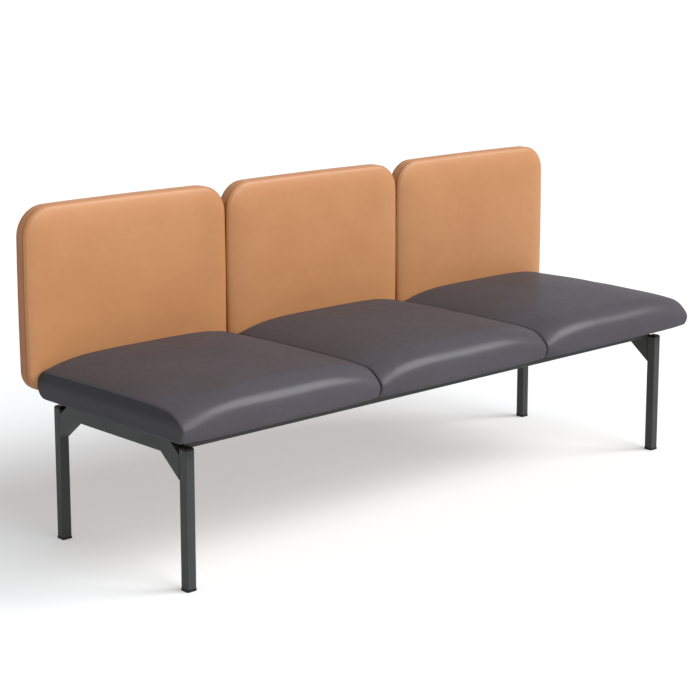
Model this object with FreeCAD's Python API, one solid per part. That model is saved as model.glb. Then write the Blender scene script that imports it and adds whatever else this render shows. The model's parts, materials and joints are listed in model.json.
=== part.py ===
import FreeCAD, Part
import math
import os

Vector = FreeCAD.Vector

# Three-seat bench. X runs along the bench, -Y is the front, Z is up.
# Sizes are in millimetres. Each piece is drawn around the middle of the four legs and is
# saved around the middle of the whole bench, with the origin on the floor.

# Leg frames, set in from the ends of the row of seats
frame_end_inset = 51.0
frame_depth = 518.0
leg_side = 25.4
leg_wall = 2.0
leg_corner_radius = 3.0
leg_top = 329.0

# Feet and leg caps
foot_height = 6.0
foot_margin = 1.0
foot_edge_radius = 1.5
plug_depth = 20.0
plug_clearance = 0.15
plug_wall = 2.0
plug_rib_height = 2.0
plug_rib_relief = 0.6
plug_rib_levels = (0.3, 0.7)
cap_rise = 7.0
cap_shoulder_radius = 5.5

# Crossrails and corner brackets
rail_top = 361.0
crossrail_height = 50.0
crossrail_wall = 2.0
bracket_reach = 65.6
arm_drop = 52.0
arm_root_height = 58.5
spigot_length = 30.0
spigot_clearance = 0.25
frame_bolt_edge = 13.0

# Long rails and the bars between them
rail_width = 25.4
rail_height = 34.5
rail_wall = 2.0
rail_corner_radius = 2.5
rail_end_inset = 17.0
rail_pocket_clearance = 0.2
crossbar_side = 25.4

# Seats
seat_count = 3
seat_pitch = 600.0
seat_gap = 3.0
seat_bottom = 364.0
seat_seam_height = 437.0
seat_nose_overhang = 59.0
seat_back_clearance = 0.8
seat_rear_draw_power = 16
seat_nose_bulge = 5.0
seat_crown_rise = 26.0
seat_nose_radius = 58.0
seat_nose_lower_radius = 14.0
seat_rear_radius = 36.0
seat_rear_lower_radius = 28.0
seat_crown_radius = 2600.0
seat_rear_drop = 3.0
seat_crest_lift = 2.0
seat_crest_offset = -5.0
seat_rear_crown_share = 0.95
seat_front_crown_share = 0.6
seat_crown_power = 4
seat_loft_steps = (-1.0, -0.95, -0.83, -0.55, 0.0, 0.55, 0.83, 0.95, 1.0)
loft_degree = 3

# Seat boards
board_thickness = 12.0
board_side_inset = 25.0
board_front_inset = 40.0
board_corner_radius = 20.0
soft_clearance = 0.3

# Backs, a little further apart than the seats
back_spread = 14.0
back_gap = 3.0
back_bottom = 372.0
back_top = 826.0
back_upper_radius = 72.0
back_lower_radius = 50.0
back_side_bow = 2.5
back_front_offset = 2.0
back_boxing_depth = 28.0
back_rear_round = 6.0
back_crown_rise = 18.0
back_crown_reach = 200.0
back_crown_turns = (0, 18, 36, 54, 72, 85)
back_radius_share = 0.25
back_rear_shoulder = (0.6, 0.25)
back_board_inset = 14.0
back_panel_thickness = 4.0

# Back uprights
upright_width = 40.0
upright_thickness = 6.0
upright_bend_radius = 6.0
upright_top = 600.0
upright_end_radius = 8.0
upright_edge_radius = 0.5
upright_offset = 150.0
upright_bolt_spacing = 22.0
upright_bolt_heights = (440.0, 560.0)

# Fasteners
bolt_diameter = 6.0
bolt_hole_diameter = 6.5
bolt_head_diameter = 10.5
bolt_head_height = 3.5
bolt_head_top_share = 0.7
bolt_socket_across_flats = 4.0
bolt_socket_depth = 2.0
access_hole_diameter = 14.0
seat_bolt_offset = 200.0
tee_nut_diameter = 8.0
tee_nut_flange_diameter = 17.0
tee_nut_flange_thickness = 1.5
thread_clearance = 0.05
nut_across_flats = 10.0
nut_height = 5.0
nut_corner_radius = 0.5

# Places that follow from the driving sizes
frame_length = seat_count * seat_pitch - 2 * frame_end_inset
back_pitch = seat_pitch + back_spread
leg_x = (frame_length - leg_side) / 2
leg_y = (frame_depth - leg_side) / 2
crossrail_bottom = rail_top - crossrail_height
crossrail_end = frame_depth / 2 - leg_side - bracket_reach
rail_bottom = rail_top - rail_height
rail_y = frame_depth / 2 - leg_side - rail_width / 2
rail_end = frame_length / 2 - rail_end_inset
seat_front = -frame_depth / 2 - seat_nose_overhang
board_top = rail_top + board_thickness
back_seam = frame_depth / 2 + back_front_offset
back_rear = back_seam + back_boxing_depth + back_rear_round
back_board_front = back_rear - back_panel_thickness - board_thickness
upright_outer = back_rear + upright_thickness
upright_underside = rail_bottom - upright_thickness
foremost = seat_front - seat_nose_bulge
rearmost = upright_outer + bolt_head_height
depth_middle = (foremost + rearmost) / 2


def corner_arc(before, corner, after, radius):
    """Start, middle and end of the arc that rounds a corner of an outline."""
    to_before = (before - corner).normalize()
    to_after = (after - corner).normalize()
    half_angle = to_before.getAngle(to_after) / 2
    reach = radius / math.tan(half_angle)
    bisector = (to_before + to_after).normalize()
    middle = corner + bisector * (radius / math.sin(half_angle) - radius)
    return corner + to_before * reach, middle, corner + to_after * reach


def rounded_wire(corners):
    """Closed wire of lines and arcs through (point, radius) corners."""
    points = [point for point, radius in corners]
    arcs = []
    for index, (point, radius) in enumerate(corners):
        before = points[index - 1]
        after = points[(index + 1) % len(points)]
        arcs.append(corner_arc(before, point, after, radius))
    edges = []
    for index, (start, middle, end) in enumerate(arcs):
        following = arcs[(index + 1) % len(arcs)][0]
        edges.append(Part.Arc(start, middle, end).toShape())
        edges.append(Part.LineSegment(end, following).toShape())
    return Part.Wire(edges)


def rounded_bar(width, depth, height, radius):
    """Upright bar on the XY plane, centred on Z, with its four long edges rounded."""
    half_width, half_depth = width / 2, depth / 2
    corners = [
        (Vector(-half_width, -half_depth, 0), radius),
        (Vector(half_width, -half_depth, 0), radius),
        (Vector(half_width, half_depth, 0), radius),
        (Vector(-half_width, half_depth, 0), radius),
    ]
    return Part.Face(rounded_wire(corners)).extrude(Vector(0, 0, height))


def tube(width, depth, length, wall, radius):
    """Rectangular tube on the XY plane, centred on Z."""
    outside = rounded_bar(width, depth, length, radius)
    bore_radius = max(radius - wall, wall / 4)
    bore = rounded_bar(width - 2 * wall, depth - 2 * wall, length, bore_radius)
    return outside.cut(bore)


def cylinder(diameter, height, x, y, z, direction=Vector(0, 0, 1)):
    return Part.makeCylinder(diameter / 2, height, Vector(x, y, z), direction)


def side_edges(shape, height, axis):
    """Edges of a shape that lie wholly at one height along an axis."""
    found = []
    for edge in shape.Edges:
        low = getattr(edge.BoundBox, axis + "Min")
        high = getattr(edge.BoundBox, axis + "Max")
        if abs(low - height) < 0.01 and abs(high - height) < 0.01:
            found.append(edge)
    return found


def placed(shape, x, y, z=0.0):
    copy = shape.copy()
    copy.translate(Vector(x, y, z))
    return copy


def mirrored(shape, across_x, across_y):
    copy = shape.copy()
    if across_x:
        copy = copy.mirror(Vector(0, 0, 0), Vector(1, 0, 0))
    if across_y:
        copy = copy.mirror(Vector(0, 0, 0), Vector(0, 1, 0))
    return copy


# Legs

def make_leg():
    leg = tube(leg_side, leg_side, leg_top - foot_height, leg_wall, leg_corner_radius)
    return placed(leg, 0, 0, foot_height)


def make_plug():
    """Hollow square plug with two ribs that grip the bore of a leg, standing on the XY plane."""
    bore = leg_side - 2 * leg_wall
    rib_side = bore - 2 * plug_clearance
    core_side = rib_side - 2 * plug_rib_relief
    core_radius = max(leg_corner_radius - leg_wall, leg_wall / 4)
    plug = rounded_bar(core_side, core_side, plug_depth, core_radius)
    for level in plug_rib_levels:
        rib = rounded_bar(rib_side, rib_side, plug_rib_height, core_radius)
        plug = plug.fuse(placed(rib, 0, 0, plug_depth * level))
    hollow_side = core_side - 2 * plug_wall
    hollow = rounded_bar(hollow_side, hollow_side, plug_depth, core_radius)
    return plug.cut(hollow)


def make_foot():
    pad_side = leg_side + 2 * foot_margin
    pad = rounded_bar(pad_side, pad_side, foot_height, leg_corner_radius + foot_margin)
    pad = pad.makeFillet(foot_edge_radius, side_edges(pad, 0.0, "Z"))
    return pad.fuse(placed(make_plug(), 0, 0, foot_height))


def make_leg_cap():
    dome = rounded_bar(leg_side, leg_side, cap_rise, leg_corner_radius)
    dome = dome.makeFillet(cap_shoulder_radius, side_edges(dome, cap_rise, "Z"))
    plug = make_plug().mirror(Vector(0, 0, 0), Vector(0, 0, 1))
    return placed(dome.fuse(plug), 0, 0, leg_top)


# Crossrails and corner brackets

def make_crossrail():
    """Rail from front bracket to rear bracket, with holes for the frame bolts in its inner wall."""
    blank = tube(leg_side, crossrail_height, 2 * crossrail_end, crossrail_wall, leg_corner_radius)
    blank.rotate(Vector(0, 0, 0), Vector(1, 0, 0), 90)
    rail = placed(blank, 0, crossrail_end, rail_top - crossrail_height / 2)
    for y, z in frame_bolt_places():
        hole = cylinder(bolt_hole_diameter, leg_side / 2, 0, y, z, Vector(1, 0, 0))
        rail = rail.cut(hole)
    return rail


def frame_bolt_places():
    places = []
    for y in (-crossrail_end + spigot_length / 2, crossrail_end - spigot_length / 2):
        for z in (crossrail_bottom + frame_bolt_edge, rail_top - frame_bolt_edge):
            places.append((y, z))
    return places


def make_corner_bracket():
    """Front left bracket: a slanted arm from the leg up to the crossrail, a spigot inside the
    crossrail, and a pocket on the inner side where the end of a long rail is let in."""
    leg_face = -frame_depth / 2 + leg_side
    joint = -crossrail_end
    slope = arm_drop / bracket_reach
    root_low = crossrail_bottom - arm_drop
    root_high = root_low + arm_root_height
    shoulder = leg_face + (rail_top - root_high) / slope
    outline = [
        Vector(0, leg_face, root_low),
        Vector(0, joint, crossrail_bottom),
        Vector(0, joint, rail_top),
        Vector(0, shoulder, rail_top),
        Vector(0, leg_face, root_high),
    ]
    arm = Part.Face(Part.makePolygon(outline + outline[:1])).extrude(Vector(leg_side, 0, 0))
    arm.translate(Vector(-leg_side / 2, 0, 0))

    spigot_width = leg_side - 2 * crossrail_wall - 2 * spigot_clearance
    spigot_height = crossrail_height - 2 * crossrail_wall - 2 * spigot_clearance
    spigot = rounded_bar(spigot_width, spigot_height, spigot_length, leg_corner_radius / 2)
    spigot.rotate(Vector(0, 0, 0), Vector(1, 0, 0), -90)
    bracket = arm.fuse(placed(spigot, 0, joint, rail_top - crossrail_height / 2))

    for y, z in frame_bolt_places()[:2]:
        bore = cylinder(bolt_hole_diameter, leg_side, 0, y, z, Vector(1, 0, 0))
        bracket = bracket.cut(bore)

    pocket_wall = rail_end_inset - leg_side / 2
    pocket = Part.makeBox(
        leg_side,
        rail_width + rail_pocket_clearance,
        rail_height,
        Vector(pocket_wall, leg_face, rail_bottom),
    )
    return bracket.cut(pocket)


# Long rails

def seat_centres():
    middle = (seat_count - 1) / 2
    return [(index - middle) * seat_pitch for index in range(seat_count)]


def back_centres():
    middle = (seat_count - 1) / 2
    return [(index - middle) * back_pitch for index in range(seat_count)]


def seat_bolt_xs():
    return [centre + side * seat_bolt_offset for centre in seat_centres() for side in (-1, 1)]


def upright_xs():
    return [centre + side * upright_offset for centre in seat_centres() for side in (-1, 1)]


def upright_foot_bolt_xs():
    half = upright_bolt_spacing / 2
    return [x + side * half for x in upright_xs() for side in (-1, 1)]


def make_long_rail():
    """Rail along the bench, with a bolt hole above and an access hole below at every seat bolt."""
    blank = tube(rail_height, rail_width, 2 * rail_end, rail_wall, rail_corner_radius)
    blank.rotate(Vector(0, 0, 0), Vector(0, 1, 0), 90)
    rail = placed(blank, -rail_end, 0, rail_top - rail_height / 2)
    middle = rail_top - rail_height / 2
    for x in seat_bolt_xs():
        rail = rail.cut(cylinder(bolt_hole_diameter, rail_height, x, 0, middle))
        rail = rail.cut(cylinder(access_hole_diameter, rail_height, x, 0, middle - rail_height))
    return rail


def make_front_rail():
    return placed(make_long_rail(), 0, -rail_y)


def make_rear_rail():
    rail = placed(make_long_rail(), 0, rail_y)
    for x in upright_foot_bolt_xs():
        rail = rail.cut(cylinder(bolt_hole_diameter, rail_height / 2, x, rail_y, rail_bottom))
    return rail


def make_crossbar():
    length = 2 * rail_y - rail_width
    blank = tube(crossbar_side, crossbar_side, length, rail_wall, rail_corner_radius)
    blank.rotate(Vector(0, 0, 0), Vector(1, 0, 0), 90)
    return placed(blank, 0, length / 2, rail_top - crossbar_side / 2)


# Seats

def back_face(inset):
    """How far to the rear the crowned front of a back lies, at an inset from its outline."""
    flat = 1 - inset / back_crown_reach
    return back_seam - back_crown_rise * math.sqrt(1 - flat ** 2)


def seat_rear_at(step):
    """Rear of a seat, drawn in before the back's crown away from the two side panels."""
    side = back_face(seat_count * back_spread / 2) - seat_back_clearance
    middle = back_face(seat_seam_height - back_bottom) - seat_back_clearance
    return middle + (side - middle) * step ** seat_rear_draw_power


def seat_section(step):
    """Side outline of a seat at a step from its middle (0) to a side panel (-1 or 1)."""
    x = step * (seat_pitch - seat_gap) / 2
    share = 1.0 - step ** seat_crown_power
    rear = seat_rear_at(step)
    front = seat_front - seat_nose_bulge * share
    crown = seat_crown_rise * share
    rear_top = seat_seam_height - seat_rear_drop + seat_rear_crown_share * crown
    crest = seat_seam_height + seat_crest_lift + crown
    front_top = seat_seam_height + seat_front_crown_share * crown
    return rounded_wire([
        (Vector(x, rear, seat_bottom), seat_rear_lower_radius),
        (Vector(x, rear, rear_top), seat_rear_radius),
        (Vector(x, seat_crest_offset, crest), seat_crown_radius),
        (Vector(x, front, front_top), seat_nose_radius),
        (Vector(x, front, seat_bottom), seat_nose_lower_radius),
    ])


def make_seat_cushion():
    """Crowned cushion with a waterfall front, lofted across its width, hollowed below for its board."""
    sections = [seat_section(step) for step in seat_loft_steps]
    cushion = Part.makeLoft(sections, True, False, False, loft_degree)
    room = seat_board_blank(soft_clearance)
    return cushion.cut(placed(room, 0, 0, soft_clearance))


def seat_board_blank(margin):
    """Board flush with the rear of the rear rail, larger all round by a margin."""
    width = seat_pitch - seat_gap - 2 * board_side_inset + 2 * margin
    front = seat_front + board_front_inset - margin
    rear = rail_y + rail_width / 2 + margin
    blank = rounded_bar(width, rear - front, board_thickness, board_corner_radius)
    return placed(blank, 0, (front + rear) / 2, rail_top)


def seat_bolt_places():
    return [(side * seat_bolt_offset, row * rail_y) for side in (-1, 1) for row in (-1, 1)]


def make_seat_board():
    board = seat_board_blank(0.0)
    barrel = tee_nut_diameter + 2 * thread_clearance
    flange = tee_nut_flange_diameter + 2 * thread_clearance
    for x, y in seat_bolt_places():
        board = board.cut(cylinder(barrel, board_thickness, x, y, rail_top))
        seat = cylinder(flange, tee_nut_flange_thickness, x, y, board_top - tee_nut_flange_thickness)
        board = board.cut(seat)
    return board


# Backs

def back_section(y, inset):
    """Upright outline of a back: a rounded rectangle whose four sides bow outwards."""
    half = (back_pitch - back_gap) / 2 - inset
    low = back_bottom + inset
    high = back_top - inset
    upper = back_upper_radius - back_radius_share * inset
    lower = back_lower_radius - back_radius_share * inset
    upper_turn = upper * (1 - math.sqrt(0.5))
    lower_turn = lower * (1 - math.sqrt(0.5))
    bow = back_side_bow

    def arc(*ends):
        return Part.Arc(*[Vector(x, y, z) for x, z in ends]).toShape()

    inner = half - bow
    bottom = low + bow
    top = high - bow
    side_low = bottom + lower
    side_high = top - upper
    middle = (side_low + side_high) / 2
    return Part.Wire([
        arc((lower - inner, bottom), (0, low), (inner - lower, bottom)),
        arc((inner - lower, bottom), (inner - lower_turn, bottom + lower_turn), (inner, side_low)),
        arc((inner, side_low), (half, middle), (inner, side_high)),
        arc((inner, side_high), (inner - upper_turn, top - upper_turn), (inner - upper, top)),
        arc((inner - upper, top), (0, high), (upper - inner, top)),
        arc((upper - inner, top), (upper_turn - inner, top - upper_turn), (-inner, side_high)),
        arc((-inner, side_high), (-half, middle), (-inner, side_low)),
        arc((-inner, side_low), (lower_turn - inner, bottom + lower_turn), (lower - inner, bottom)),
    ])


def back_plate(front, thickness, inset):
    return Part.Face(back_section(front, inset)).extrude(Vector(0, thickness, 0))


def make_back_cushion():
    """Crowned front on a flat boxing, with a shallow room at the rear for the board and panel."""
    crown = []
    for degrees in back_crown_turns:
        turn = math.radians(degrees)
        inset = back_crown_reach * (1 - math.cos(turn))
        crown.append(back_section(back_seam - back_crown_rise * math.sin(turn), inset))
    front = Part.makeLoft(crown, True, False, False, loft_degree)
    boxing = back_plate(back_seam, back_boxing_depth, 0.0)
    rear_seam = back_seam + back_boxing_depth
    way, inset = (share * back_rear_round for share in back_rear_shoulder)
    rounding = [
        back_section(rear_seam, 0.0),
        back_section(rear_seam + way, inset),
        back_section(back_rear, back_rear_round),
    ]
    rear = Part.makeLoft(rounding, True, True)
    cushion = front.fuse([boxing, rear])
    room_depth = back_panel_thickness + board_thickness + soft_clearance
    return cushion.cut(back_plate(back_rear - room_depth, room_depth, back_board_inset))


def back_bolt_places(centre):
    """Bolt places of one back, measured from that back's own middle."""
    places = []
    for x in upright_xs():
        if abs(x - centre) < seat_pitch / 2:
            places += [(x - centre, z) for z in upright_bolt_heights]
    return places


def make_back_board(centre):
    board = back_plate(back_board_front, board_thickness, back_board_inset + soft_clearance)
    barrel = tee_nut_diameter + 2 * thread_clearance
    flange = tee_nut_flange_diameter + 2 * thread_clearance
    rearward = Vector(0, 1, 0)
    for x, z in back_bolt_places(centre):
        board = board.cut(cylinder(barrel, board_thickness, x, back_board_front, z, rearward))
        seat = cylinder(flange, tee_nut_flange_thickness, x, back_board_front, z, rearward)
        board = board.cut(seat)
    return board


def make_back_panel(centre):
    start = back_board_front + board_thickness
    panel = back_plate(start, back_panel_thickness, back_board_inset + soft_clearance)
    for x, z in back_bolt_places(centre):
        hole = cylinder(bolt_hole_diameter, back_panel_thickness, x, start, z, Vector(0, 1, 0))
        panel = panel.cut(hole)
    return panel


def make_upright():
    """Flat steel bar bent up behind a back from below the rear rail."""
    half = upright_width / 2
    foot_front = rail_y - rail_width / 2
    outer_radius = upright_bend_radius + upright_thickness
    edge = upright_edge_radius
    profile = rounded_wire([
        (Vector(-half, foot_front, upright_underside), edge),
        (Vector(-half, upright_outer, upright_underside), outer_radius),
        (Vector(-half, upright_outer, upright_top), edge),
        (Vector(-half, back_rear, upright_top), edge),
        (Vector(-half, back_rear, rail_bottom), upright_bend_radius),
        (Vector(-half, foot_front, rail_bottom), edge),
    ])
    bar = Part.Face(profile).extrude(Vector(upright_width, 0, 0))
    keep = rounded_bar(upright_width, 2 * upright_top, upright_outer + half, upright_end_radius)
    keep.rotate(Vector(0, 0, 0), Vector(1, 0, 0), -90)
    bar = bar.common(keep)
    for z in upright_bolt_heights:
        hole = cylinder(bolt_hole_diameter, upright_thickness, 0, back_rear, z, Vector(0, 1, 0))
        bar = bar.cut(hole)
    for side in (-1, 1):
        x = side * upright_bolt_spacing / 2
        bar = bar.cut(cylinder(bolt_hole_diameter, upright_thickness, x, rail_y, upright_underside))
    return bar


# Fasteners

def make_bolt(length):
    """Button head bolt with a hexagon socket, its head below the XY plane and its shank upwards."""
    rim = bolt_head_diameter / 2
    head = Part.makeCone(bolt_head_top_share * rim, rim, bolt_head_height)
    head.translate(Vector(0, 0, -bolt_head_height))
    corners = []
    for index in range(7):
        turn = math.radians(60 * index)
        reach = bolt_socket_across_flats / math.sqrt(3)
        corners.append(Vector(reach * math.cos(turn), reach * math.sin(turn), -bolt_head_height))
    socket = Part.Face(Part.makePolygon(corners)).extrude(Vector(0, 0, bolt_socket_depth))
    shank = Part.makeCylinder(bolt_diameter / 2, length)
    return head.cut(socket).fuse(shank)


def make_tee_nut(length):
    """Threaded barrel with a round flange on its far end, standing on the XY plane."""
    barrel = Part.makeCylinder(tee_nut_diameter / 2, length)
    flange = Part.makeCylinder(tee_nut_flange_diameter / 2, tee_nut_flange_thickness)
    nut = barrel.fuse(placed(flange, 0, 0, length - tee_nut_flange_thickness))
    bore = Part.makeCylinder(bolt_diameter / 2 + thread_clearance, length)
    return nut.cut(bore)


def make_seat_bolts():
    head_seat = rail_top - rail_wall
    bolt = make_bolt(rail_wall + board_thickness - tee_nut_flange_thickness)
    return [
        placed(bolt, x, row * rail_y, head_seat)
        for x in seat_bolt_xs()
        for row in (-1, 1)
    ]


def make_seat_tee_nuts():
    nut = make_tee_nut(board_thickness)
    return [placed(nut, x, row * rail_y, rail_top) for x in seat_bolt_xs() for row in (-1, 1)]


def lying_forward(shape):
    """Turns a piece that stands up so that its top points to the front."""
    copy = shape.copy()
    copy.rotate(Vector(0, 0, 0), Vector(1, 0, 0), 90)
    return copy


def make_back_bolts():
    length = upright_thickness + back_panel_thickness + board_thickness - tee_nut_flange_thickness
    bolt = lying_forward(make_bolt(length))
    return [placed(bolt, x, upright_outer, z) for x in upright_xs() for z in upright_bolt_heights]


def make_back_tee_nuts():
    nut = lying_forward(make_tee_nut(board_thickness))
    start = back_board_front + board_thickness
    return [placed(nut, x, start, z) for x in upright_xs() for z in upright_bolt_heights]


def make_upright_bolts():
    length = upright_thickness + rail_wall + nut_height
    bolt = make_bolt(length)
    return [placed(bolt, x, rail_y, upright_underside) for x in upright_foot_bolt_xs()]


def make_upright_nuts():
    side = nut_across_flats
    block = rounded_bar(side, side, nut_height, nut_corner_radius)
    nut = block.cut(Part.makeCylinder(bolt_diameter / 2 + thread_clearance, nut_height))
    return [placed(nut, x, rail_y, rail_bottom + rail_wall) for x in upright_foot_bolt_xs()]


def make_frame_bolts():
    """Bolts through the inner wall of each crossrail into the bracket spigots."""
    bolts = []
    length = leg_side / 2
    for side in (-1, 1):
        bolt = make_bolt(length)
        bolt.rotate(Vector(0, 0, 0), Vector(0, 1, 0), 90 * side)
        for y, z in frame_bolt_places():
            bolts.append(placed(bolt, side * (leg_x - leg_side / 2), y, z))
    return bolts


# Writing the pieces

def save(name, pieces):
    shape = Part.makeCompound(pieces) if isinstance(pieces, list) else pieces
    shape = placed(shape, 0, -depth_middle)
    shape.exportStep("parts/" + name + ".step")
    solids = len(shape.Solids)
    print(f"{name:24s} {solids:3d} solids  valid {shape.isValid()}  volume {shape.Volume / 1000:9.1f} cm3")


def main():
    os.makedirs("parts", exist_ok=True)

    leg = make_leg()
    foot = make_foot()
    cap = make_leg_cap()
    bracket = make_corner_bracket()
    for end, side in (("left", -1), ("right", 1)):
        for row, way in (("front", -1), ("rear", 1)):
            x, y = side * leg_x, way * leg_y
            save(f"leg_{row}_{end}", placed(leg, x, y))
            save(f"foot_{row}_{end}", placed(foot, x, y))
            save(f"leg_cap_{row}_{end}", placed(cap, x, y))
            turned = mirrored(bracket, side > 0, way > 0)
            save(f"corner_bracket_{row}_{end}", placed(turned, x, 0))
        crossrail = mirrored(make_crossrail(), side > 0, False)
        save(f"crossrail_{end}", placed(crossrail, side * leg_x, 0))
        save(f"crossbar_{end}", placed(make_crossbar(), side * seat_pitch / 2, 0))

    save("front_rail", make_front_rail())
    save("rear_rail", make_rear_rail())

    seat_cushion = make_seat_cushion()
    seat_board = make_seat_board()
    back_cushion = make_back_cushion()
    upright = make_upright()
    places = ("left", "middle", "right")
    for place, seat_x, back_x in zip(places, seat_centres(), back_centres()):
        save(f"seat_cushion_{place}", placed(seat_cushion, seat_x, 0))
        save(f"seat_board_{place}", placed(seat_board, seat_x, 0))
        save(f"back_cushion_{place}", placed(back_cushion, back_x, 0))
        save(f"back_board_{place}", placed(make_back_board(back_x), back_x, 0))
        save(f"back_panel_{place}", placed(make_back_panel(back_x), back_x, 0))
    for index, x in enumerate(upright_xs()):
        save(f"back_upright_{index + 1}", placed(upright, x, 0))

    save("seat_bolts", make_seat_bolts())
    save("seat_tee_nuts", make_seat_tee_nuts())
    save("back_bolts", make_back_bolts())
    save("back_tee_nuts", make_back_tee_nuts())
    save("upright_bolts", make_upright_bolts())
    save("upright_nuts", make_upright_nuts())
    save("frame_bolts", make_frame_bolts())


main()
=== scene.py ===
import json
import math

import bmesh
import bpy
import numpy as np
from mathutils import Euler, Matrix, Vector


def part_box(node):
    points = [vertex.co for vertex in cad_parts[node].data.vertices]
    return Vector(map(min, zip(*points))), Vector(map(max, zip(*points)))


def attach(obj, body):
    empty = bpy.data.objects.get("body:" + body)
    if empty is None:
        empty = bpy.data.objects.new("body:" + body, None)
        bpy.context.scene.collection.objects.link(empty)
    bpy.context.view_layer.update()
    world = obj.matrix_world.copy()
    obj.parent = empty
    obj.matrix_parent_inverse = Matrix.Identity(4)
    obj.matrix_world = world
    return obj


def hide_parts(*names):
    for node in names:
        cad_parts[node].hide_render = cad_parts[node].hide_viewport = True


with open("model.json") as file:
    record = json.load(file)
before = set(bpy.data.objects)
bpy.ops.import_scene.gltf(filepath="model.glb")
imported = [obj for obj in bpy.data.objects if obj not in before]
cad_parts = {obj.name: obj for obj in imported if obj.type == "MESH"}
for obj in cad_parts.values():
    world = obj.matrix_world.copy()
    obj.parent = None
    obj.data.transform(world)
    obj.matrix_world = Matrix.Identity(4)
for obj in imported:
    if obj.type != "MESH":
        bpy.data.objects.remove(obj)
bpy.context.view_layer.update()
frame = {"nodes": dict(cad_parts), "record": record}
nodes = frame["nodes"]
print("bench: frame loaded,", len(nodes), "nodes")


# Shader tools

class Wire:
    # One socket of a node tree. Arithmetic on it adds Math nodes to the same tree.
    def __init__(self, paint, socket):
        self.paint = paint
        self.socket = socket

    def maths(self, operation, first, second):
        return self.paint.node("ShaderNodeMath", {"operation": operation}, {0: first, 1: second})

    def __add__(self, other):
        return self.maths("ADD", self, other)

    def __radd__(self, other):
        return self.maths("ADD", other, self)

    def __sub__(self, other):
        return self.maths("SUBTRACT", self, other)

    def __rsub__(self, other):
        return self.maths("SUBTRACT", other, self)

    def __mul__(self, other):
        return self.maths("MULTIPLY", self, other)

    def __rmul__(self, other):
        return self.maths("MULTIPLY", other, self)


class Paint:
    # The node tree of one material or of the world.
    def __init__(self, owner):
        owner.use_nodes = True
        self.owner = owner
        self.tree = owner.node_tree
        self.tree.nodes.clear()

    # Adds a node: its settings first, then its sockets, each a value or a wire.
    def node(self, kind, settings, sockets, output=0):
        made = self.tree.nodes.new(kind)
        for key, value in settings.items():
            setattr(made, key, value)
        for key, value in sockets.items():
            if isinstance(value, Wire):
                self.tree.links.new(value.socket, made.inputs[key])
            else:
                made.inputs[key].default_value = value
        return Wire(self, made.outputs[output]) if made.outputs else made

    def objectPlace(self):
        return self.node("ShaderNodeTexCoord", {}, {}, "Object")

    def noise(self, place, scale, detail=2.0, roughness=0.5, distortion=0.0):
        values = {"Vector": place, "Scale": scale, "Detail": detail}
        values.update({"Roughness": roughness, "Distortion": distortion})
        return self.node("ShaderNodeTexNoise", {}, values, "Fac")

    def cells(self, place, scale):
        values = {"Vector": place, "Scale": scale, "Randomness": 1.0}
        return self.node("ShaderNodeTexVoronoi", {"feature": "DISTANCE_TO_EDGE"}, values, "Distance")

    # A share from 0 to 1 as a value passes from low to high.
    def between(self, value, low, high):
        sockets = {"Value": value, "From Min": low, "From Max": high}
        return self.node("ShaderNodeMapRange", {"interpolation_type": "SMOOTHSTEP"}, sockets)

    # Goes from minus half the size to plus half of it, as a value passes from 0 to 1.
    def swing(self, value, size):
        return (value - 0.5) * size

    def blend(self, share, first, second):
        sockets = {0: share, 6: first, 7: second}
        return self.node("ShaderNodeMix", {"data_type": "RGBA"}, sockets, 2)

    def bump(self, height, strength, distance):
        sockets = {"Height": height, "Strength": strength, "Distance": distance}
        return self.node("ShaderNodeBump", {}, sockets)

    def attribute(self, name):
        return self.node("ShaderNodeAttribute", {"attribute_name": name}, {}, "Fac")

    # 1 for a ray from the camera or from a mirror-like or clear surface, and 0 for the rest.
    def seenRay(self):
        camera = self.node("ShaderNodeLightPath", {}, {}, "Is Camera Ray")
        glossy = self.node("ShaderNodeLightPath", {}, {}, "Is Glossy Ray")
        clear = self.node("ShaderNodeLightPath", {}, {}, "Is Transmission Ray")
        return camera.maths("MAXIMUM", camera.maths("MAXIMUM", camera, glossy), clear)

    # Ends the tree in one glossy surface shader, with its fixed values on its own sockets.
    def surface(self, sockets):
        shader = self.node("ShaderNodeBsdfPrincipled", {}, sockets)
        self.node("ShaderNodeOutputMaterial", {}, {"Surface": shader})
        return self.owner


def newPaint(name):
    return Paint(bpy.data.materials.new(name))


# Turns a colour as seen on a screen, 0 to 255, into linear light: a straight foot in the
# darks, and a power above it.
def rgb(red, green, blue):
    foot, slope, lift, power = 0.04045, 12.92, 0.055, 2.4
    shares = np.array([red, green, blue]) / 255.0
    linear = np.where(shares <= foot, shares / slope, ((shares + lift) / (1 + lift)) ** power)
    return (*[float(value) for value in linear], 1.0)


def toned(colour, factor):
    return (colour[0] * factor, colour[1] * factor, colour[2] * factor, 1.0)


# Finishes

# What the two leathers share. The details of a noise are its detail, roughness and distortion.
hide = {
    "blotchScale": 6.0,
    "blotchDetails": (3.0, 0.55, 0.4),
    "blotchRange": (0.40, 0.70),
    "blotchShare": 0.6,
    "mottleScale": 54.0,
    "mottleDetails": (3.0, 0.6),
    "mottleRange": (0.3, 0.75),
    "mottleShare": 0.3,
    "mottleRoughness": 0.08,
    "poreScale": 900.0,
    "poreRange": (0.0, 0.22),
    "poreShare": 0.7,
    "fineScale": 405.0,
    "fineDetails": (3.0, 0.6),
    "fineShare": 0.5,
    "fineRoughness": 0.06,
    "grainStrength": 0.3,
    "grainDepth": 0.00012,
    "seamShare": 0.85,
    "seamRoughness": 0.2,
}

tanLeather = {
    **hide,
    "colour": rgb(201, 142, 93),
    "deepColour": rgb(195, 134, 86),
    # Painted shade: the boxing, turned away from the lamps, gets a darker, more saturated colour than the
    # front.
    "stripShadeColour": rgb(178, 112, 62),
    "seamColour": rgb(140, 82, 44),
    "roughness": 0.55,
    "specular": 0.25,
    "gloss": 0.11,
    "glossRoughness": 0.36,
    "glossIor": 2.6,
}

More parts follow.
